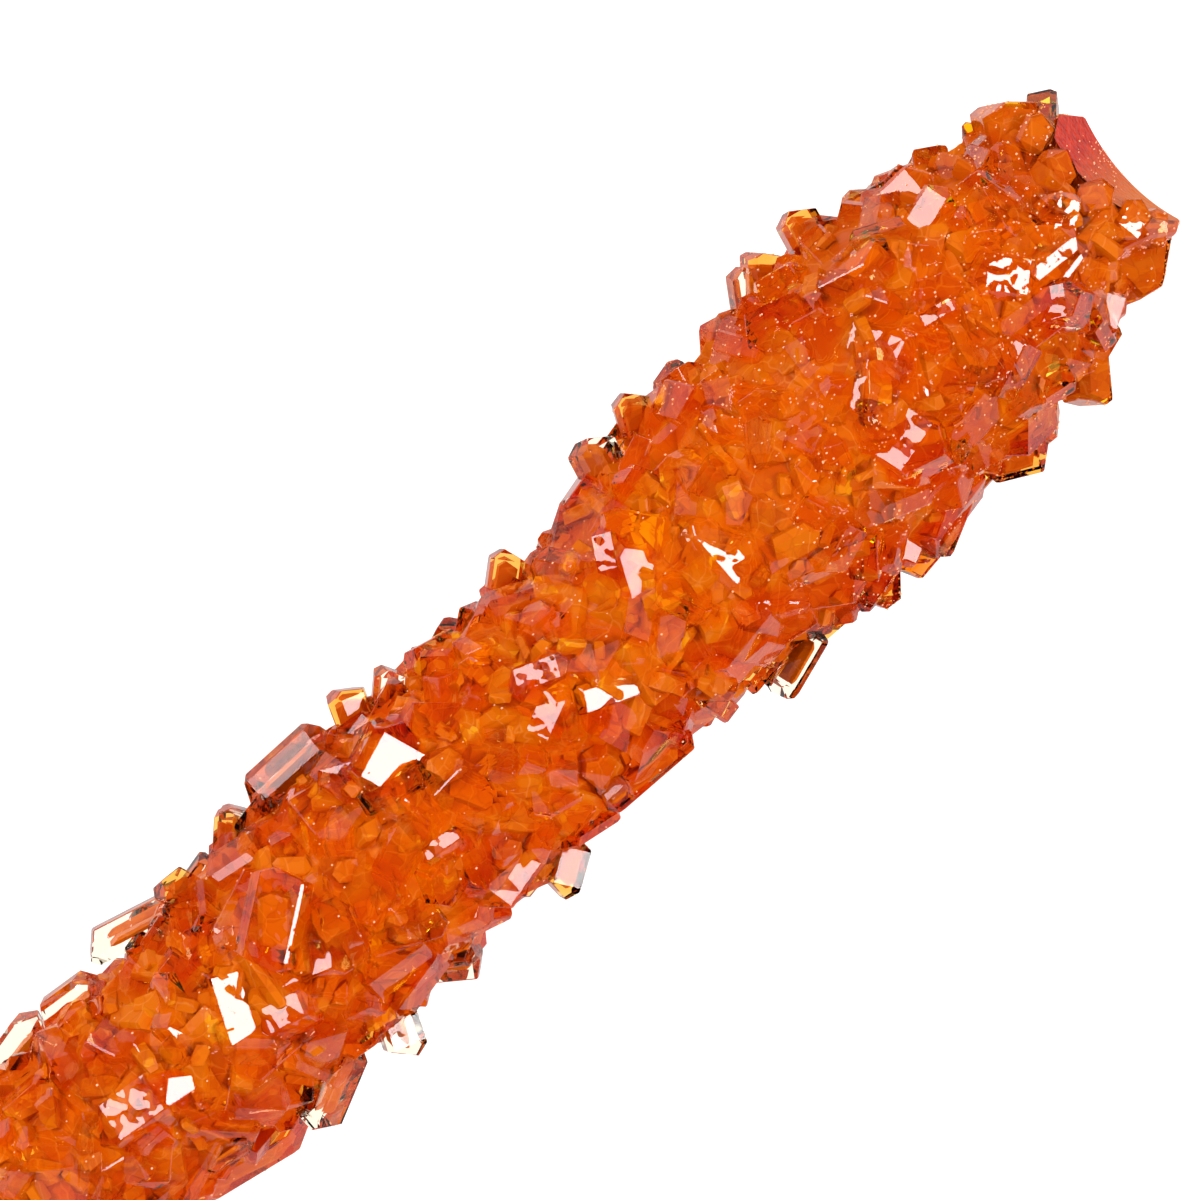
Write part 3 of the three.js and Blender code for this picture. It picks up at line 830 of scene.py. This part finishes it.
# sizes in mm
SLOW_DRIFT = 11.0
LARGE_PATCH = 1.5
SMALL_PATCH = 0.6
GLINT_LINE_PATCH = 2.3
WARP_WIDTH = 2.5
WARP_REACH = 1.6


def weighted_mean(tree, parts):
    """The mean of several sockets, each with its own weight."""
    total = sum(weight for _, weight in parts)
    mean = None
    for socket, weight in parts:
        share = add_node(tree, "Math", {0: socket, 1: weight / total}, operation="MULTIPLY")
        if mean is None:
            mean = share.outputs[0]
        else:
            mean = add_node(tree, "Math", {0: mean, 1: share.outputs[0]}).outputs[0]
    return mean


def noise(tree, place, size_mm, detail):
    """Smooth noise with blots of about this size."""
    inputs = {"Vector": place, "Scale": 1 / (size_mm * MM), "Detail": detail}
    return add_node(tree, "TexNoise", inputs)


def ramp_over(tree, value, first_stop, last_stop, *between):
    """Colours over a value, from stops given as (position, screen colour)."""
    ramp = add_node(tree, "ValToRGB", {"Fac": value})
    stops = ramp.color_ramp.elements
    for stop, (position, hex_code) in zip(stops, (first_stop, last_stop)):
        stop.position, stop.color = position, colour(hex_code)
    for position, hex_code in between:
        stops.new(position).color = colour(hex_code)
    return ramp.outputs["Color"]


def patches(tree, place, size_mm):
    """A different value in every patch of about this size."""
    cells = add_node(tree, "TexVoronoi", {"Vector": place, "Scale": 1 / (size_mm * MM)})
    return add_node(tree, "SeparateColor", {"Color": cells.outputs["Color"]}).outputs[0]


def drawn_lines(tree, place, size_mm, width):
    """One on the borders between patches of about this size, and zero inside them."""
    edges = add_node(
        tree, "TexVoronoi", {"Vector": place, "Scale": 1 / (size_mm * MM)}, feature="DISTANCE_TO_EDGE"
    )
    limits = {"From Max": width, "To Min": 1, "To Max": 0}
    return add_node(tree, "MapRange", {"Value": edges.outputs["Distance"], **limits}).outputs[0]


def warped_place(tree):
    """Object coordinates that drift a little, so that the patches aren't all alike."""
    place = add_node(tree, "TexCoord").outputs["Object"]
    warp = noise(tree, place, WARP_WIDTH, detail=2)
    moved = add_node(
        tree, "VectorMath", {0: warp.outputs["Color"], "Scale": WARP_REACH * MM}, operation="SCALE"
    )
    return place, add_node(tree, "VectorMath", {0: place, 1: moved.outputs[0]}).outputs[0]


def uneven_skin(tree, place, size_mm, depth_mm):
    """A slightly wavy normal, as a grown face has."""
    waves = noise(tree, place, size_mm, detail=1)
    inputs = {"Height": waves.outputs["Fac"], "Distance": depth_mm * MM, "Strength": 1}
    return add_node(tree, "Bump", inputs).outputs[0]


def redder_at_tip(tree, place):
    """Zero along the candy, rising to one from 30 to 8 mm before the tip."""
    along = add_node(tree, "SeparateXYZ", {"Vector": place}).outputs["X"]
    limits = {"From Min": (TIP_X - 30) * MM, "From Max": (TIP_X - 8) * MM}
    return add_node(tree, "MapRange", {"Value": along, **limits}).outputs[0]


def lined(tree, base, lines, strength, hex_code):
    """A colour with lines of another colour drawn on it."""
    share = add_node(tree, "Math", {0: lines, 1: strength}, operation="MULTIPLY")
    inputs = {0: share.outputs[0], 6: base, 7: colour(hex_code)}
    return add_node(tree, "Mix", inputs, data_type="RGBA").outputs[2]


def orange_sugar():
    """Opaque orange with a glossy skin, varied from crystal to crystal, with painted glints on some patch
    borders.
    """
    material, tree, shader = new_material("orange_sugar")
    place, warped = warped_place(tree)
    drift = noise(tree, place, SLOW_DRIFT, detail=3)
    mean = weighted_mean(tree, [
        (add_node(tree, "Attribute", attribute_name="tint").outputs["Fac"], 0.15),
        (add_node(tree, "Attribute", attribute_name="facet").outputs["Fac"], 0.10),
        (drift.outputs["Fac"], 0.35),
        (patches(tree, warped, LARGE_PATCH), 0.25),
        (patches(tree, warped, SMALL_PATCH), 0.15),
    ])
    redder = add_node(tree, "Math", {0: redder_at_tip(tree, place), 1: 0.1}, operation="MULTIPLY")
    shade = add_node(tree, "Math", {0: mean, 1: redder.outputs[0]}, operation="SUBTRACT")
    plain_stops = (0.5, PLAIN_ORANGE), (0.64, PLAIN_ORANGE)
    body = ramp_over(tree, shade.outputs[0], (0.25, DEEP_RED), (0.78, PALE_ORANGE), *plain_stops)
    brown_lines = drawn_lines(tree, warped, LARGE_PATCH, width=0.06)
    # the bright lines are painted glints laid into the base colour
    painted_glint_lines = drawn_lines(tree, warped, GLINT_LINE_PATCH, width=0.03)
    browned = lined(tree, body, brown_lines, strength=0.28, hex_code=LINE_BROWN)
    with_painted_glints = lined(tree, browned, painted_glint_lines, strength=0.2, hex_code=PAINTED_GLINT_LINE)
    tree.links.new(with_painted_glints, shader.inputs["Base Color"])
    skin = uneven_skin(tree, place, size_mm=0.8, depth_mm=0.05)
    tree.links.new(skin, shader.inputs["Normal"])
    shader.inputs["Roughness"].default_value = 0.25
    shader.inputs["IOR"].default_value = SUGAR_IOR
    shader.inputs["Specular IOR Level"].default_value = 0.06
    return material


sugar_inside = orange_sugar()
for piece in (candy_core, candy_bed, candy_grit, candy_end_inside, candy_insides):
    piece.data.materials.append(sugar_inside)
print("orange sugar on the core, the bed, the grit and the insides")

# %% [markdown]
# The wall of the hollow is frosted: it was pressed flat rather than grown, so it has no facets and
# scatters light into a soft red. Towards the right it fades into the orange of the rest.

# %% Frosted red wall
FROST_DARK = "a01404"
FROST_LIGHT = "cc3010"
FROST_BLOTS = 0.5
# the wall's places in mm to the left of the axis: orange up to the first, and red from the second
ORANGE_UP_TO = -3.0
RED_FROM = 1.5


def frosted_red():
    """Matt red-orange with a fine grain."""
    material, tree, shader = new_material("frosted_red_sugar")
    place = add_node(tree, "TexCoord").outputs["Object"]
    grain = noise(tree, place, FROST_BLOTS, detail=4)
    red = ramp_over(tree, grain.outputs["Fac"], (0.3, FROST_DARK), (0.7, FROST_LIGHT))
    across = add_node(tree, "SeparateXYZ", {"Vector": place}).outputs["Y"]
    limits = {"From Min": ORANGE_UP_TO * MM, "From Max": RED_FROM * MM}
    redder = add_node(tree, "MapRange", {"Value": across, **limits})
    inputs = {0: redder.outputs[0], 6: colour(PLAIN_ORANGE), 7: red}
    mixed = add_node(tree, "Mix", inputs, data_type="RGBA")
    tree.links.new(mixed.outputs[2], shader.inputs["Base Color"])
    skin = uneven_skin(tree, place, size_mm=0.3, depth_mm=0.12)
    tree.links.new(skin, shader.inputs["Normal"])
    shader.inputs["Roughness"].default_value = 0.35
    shader.inputs["Specular IOR Level"].default_value = 0.15
    return material


frosted_wall = frosted_red()
print("frosted red for the hollow")

# %% [markdown]
# The grains are loose white sugar. Their colour has a peach tinge painted in, for the candy's light that
# would shine through them.

# %% Loose sugar grains
# white of the sugar, with a painted peach tinge standing for the candy's light shining through
WHITE_WITH_PAINTED_PEACH_GLOW = "ffb890"
pale_sugar, _, grain_shader = new_material("pale_sugar_grain")
grain_shader.inputs["Base Color"].default_value = colour(WHITE_WITH_PAINTED_PEACH_GLOW)
grain_shader.inputs["Roughness"].default_value = 0.1
grain_shader.inputs["IOR"].default_value = SUGAR_IOR
candy_grains.data.materials.append(pale_sugar)
print("pale sugar on the grains")

# %% [markdown]
# The outer crystals are real glass to the eye: clear at their thin edges, amber through a millimetre
# and red-orange through four. Absorption inside the volume gives that by itself, since it takes away
# blue first, then green. Lamps and bounced light are let straight through the skin, as the light
# would otherwise need far more samples to find its way in.
#
# Those along the sides are a browner amber, and a weaker lens than sugar is, because a lens as strong
# as sugar turned too many of them black against the white table. A few are almost without colour.

# %% Amber crystal
AMBER = "fef000"
BROWN_AMBER = "fcdc44"
FAINT_AMBER = "fcd146"
CLEAR_SKIN = "fffaf0"
SOFT_IOR = 1.38
# how much light is taken away in a metre
DENSE = 1300
LESS_DENSE = 1000
FAINT = 80
# width of the waves on a grown face, and their height on plain, pale and wavy crystals, in mm
WAVE_WIDTH = 1.2
LOW_WAVES = 0.02
MIDDLE_WAVES = 0.05
HIGH_WAVES = 0.06


def crystal_glass(name, tint, density, wave_depth, ior=SUGAR_IOR):
    """Clear glass that takes on colour with depth."""
    material, tree, shader = new_material(name)
    out = tree.nodes["Material Output"]
    shader.inputs["Base Color"].default_value = colour(CLEAR_SKIN)
    shader.inputs["Transmission Weight"].default_value = 1
    shader.inputs["Roughness"].default_value = 0
    shader.inputs["IOR"].default_value = ior
    place = add_node(tree, "TexCoord").outputs["Object"]
    tree.links.new(uneven_skin(tree, place, WAVE_WIDTH, wave_depth), shader.inputs["Normal"])
    rays = add_node(tree, "LightPath")
    passing = add_node(tree, "BsdfTransparent", {"Color": colour(CLEAR_SKIN)})
    surface = shader
    for kind_of_ray in ("Is Shadow Ray", "Is Diffuse Ray"):
        inputs = {0: rays.outputs[kind_of_ray], 1: surface.outputs[0], 2: passing.outputs[0]}
        surface = add_node(tree, "MixShader", inputs)
    tree.links.new(surface.outputs[0], out.inputs["Surface"])
    inside = add_node(tree, "VolumeAbsorption", {"Color": colour(tint), "Density": density})
    tree.links.new(inside.outputs[0], out.inputs["Volume"])
    return material


amber_crystal = crystal_glass("amber_crystal", AMBER, DENSE, LOW_WAVES)
deep_crystal = crystal_glass("deep_amber_crystal", BROWN_AMBER, LESS_DENSE, LOW_WAVES, SOFT_IOR)
pale_crystal = crystal_glass("pale_crystal", FAINT_AMBER, FAINT, MIDDLE_WAVES, SOFT_IOR)
wavy_crystal = crystal_glass("wavy_amber_crystal", AMBER, DENSE, HIGH_WAVES)
candy_clear.data.materials.append(amber_crystal)
for piece in (candy_tip, candy_large, candy_shining):
    piece.data.materials.append(wavy_crystal)
for piece in (candy_sides, candy_blocks):
    piece.data.materials.append(deep_crystal)
candy_water_clear.data.materials.append(pale_crystal)
candy_end.data.materials.append(amber_crystal)
candy_end.data.materials.append(frosted_wall)
print("amber and pale crystal on the outer layers")

# %% [markdown]
# Bare birch is pale, with fine darker lines along the grain. The noise is squeezed along the stick, so
# that its blots become long streaks half a millimetre wide. Sanded wood has no gloss.

# %% Bare birch
BIRCH_DARK = "b89766"
BIRCH_LIGHT = "dcc39a"
STREAK_WIDTH = 0.5
SQUEEZED = 0.04


def bare_birch():
    """Pale wood with streaks along the stick."""
    material, tree, shader = new_material("bare_birch")
    place = add_node(tree, "TexCoord").outputs["Object"]
    squeezed = add_node(tree, "Mapping", {"Vector": place, "Scale": (SQUEEZED, 1, 1)})
    grain = noise(tree, squeezed.outputs[0], STREAK_WIDTH, detail=4)
    wood = ramp_over(tree, grain.outputs["Fac"], (0.3, BIRCH_DARK), (0.62, BIRCH_LIGHT))
    tree.links.new(wood, shader.inputs["Base Color"])
    shader.inputs["Roughness"].default_value = 0.6
    return material


stick_dowel.data.materials.append(bare_birch())
print("birch on the stick")

# %% [markdown]
# The candy lies on a plain white sweep with soft light from all round. A square lamp on each side
# gives the white facets, and a wide dim panel overhead gives the others their faint sheen. The sweep
# and the room are dimmer where a facet mirrors them than where they give light, because a wholly white
# room would lay a pale veil over every facet.

# %% Floor, lamps and room
FLOOR_SIZE = 8.0
FLOOR_GREY = 0.2
FLOOR_GLOW = 1.1
MIRRORED_FLOOR = 0.5
ROOM_LIGHT = 0.7
MIRRORED_ROOM = 0.03


def dimmed_in_mirrors(tree, strength, mirrored):
    """A strength that is lower where it is only seen mirrored in a facet."""
    rays = add_node(tree, "LightPath")
    both = {0: rays.outputs["Is Glossy Ray"], 1: rays.outputs["Is Reflection Ray"]}
    in_mirror = add_node(tree, "Math", both, operation="MULTIPLY")
    inputs = {"Value": in_mirror.outputs[0], "To Min": strength, "To Max": mirrored}
    return add_node(tree, "MapRange", inputs).outputs[0]


def lay_floor():
    """A white floor that is bright enough to vanish."""
    bpy.ops.object.select_all(action="DESELECT")
    bpy.ops.mesh.primitive_plane_add(size=FLOOR_SIZE, location=(0, 0, 0))
    floor = bpy.context.object
    floor.name = "floor"
    material, tree, shader = new_material("white_sweep")
    shader.inputs["Base Color"].default_value = (FLOOR_GREY, FLOOR_GREY, FLOOR_GREY, 1)
    shader.inputs["Roughness"].default_value = 0.8
    shader.inputs["Emission Color"].default_value = (1, 1, 1, 1)
    glow = dimmed_in_mirrors(tree, FLOOR_GLOW, MIRRORED_FLOOR)
    tree.links.new(glow, shader.inputs["Emission Strength"])
    floor.data.materials.append(material)


def add_lamp(name, place, width, height, power, target=(0.045, 0, 0.008)):
    """A flat lamp that faces the candy. Lengths are in metres and the power is in watts."""
    light = bpy.data.lights.new(name, "AREA")
    light.shape = "RECTANGLE"
    light.size, light.size_y = width, height
    light.energy = power
    lamp = bpy.data.objects.new(name, light)
    bpy.context.scene.collection.objects.link(lamp)
    lamp.location = place
    lamp.rotation_euler = (Vector(target) - Vector(place)).to_track_quat("-Z", "Y").to_euler()
    print(name, power, "W")


lay_floor()
add_lamp("key_lamp", KEY_PLACE * MM, KEY_SIZE * MM, KEY_SIZE * MM, power=3.0)
add_lamp("side_lamp", (0.35, -0.5, 0.6), 0.25, 0.25, power=4.0)
add_lamp("wide_panel", (0.25, 0.35, 0.8), 0.8, 0.6, power=1.0)
world = bpy.data.worlds.new("soft_room")
bpy.context.scene.world = world
world.use_nodes = True
room = world.node_tree.nodes["Background"]
room.inputs["Color"].default_value = (1, 1, 1, 1)
room_light = dimmed_in_mirrors(world.node_tree, ROOM_LIGHT, MIRRORED_ROOM)
world.node_tree.links.new(room_light, room.inputs["Strength"])

# %% [markdown]
# The camera looks straight down on the middle of the candy and is turned so that the stick runs from
# the lower left to the upper right.

# %% Camera
VIEW_WIDTH = 75.0
VIEW_CENTRE = (45.6, 2.3)
STICK_ANGLE = 44.15
LENS = 100.0
SENSOR = 36.0
camera_data = bpy.data.cameras.new("camera")
camera = bpy.data.objects.new("camera", camera_data)
bpy.context.scene.collection.objects.link(camera)
bpy.context.scene.camera = camera
camera_data.lens = LENS
camera_data.sensor_width = SENSOR
camera_data.clip_end = 10
camera.location = Vector((*VIEW_CENTRE, AXIS_HEIGHT + VIEW_WIDTH * LENS / SENSOR)) * MM
camera.rotation_euler = (0, 0, -math.radians(STICK_ANGLE))
print("camera", round(camera.location.z, 3), "m above the table")

# %% [markdown]
# Light takes many turns in a heap of crystals, but after six the eye sees no difference. The room, the
# sweep and three lamps are few enough that the sampling made for crowds of lamps would only slow the
# render down.

# %% Light paths
scene = bpy.context.scene
scene.view_settings.view_transform = "Standard"
scene.cycles.max_bounces = 6
scene.cycles.transmission_bounces = 6
scene.cycles.glossy_bounces = 2
scene.cycles.diffuse_bounces = 2
scene.cycles.transparent_max_bounces = 5
scene.cycles.use_light_tree = False
scene.cycles.caustics_reflective = False
scene.cycles.caustics_refractive = False
print("light may turn", scene.cycles.max_bounces, "times")
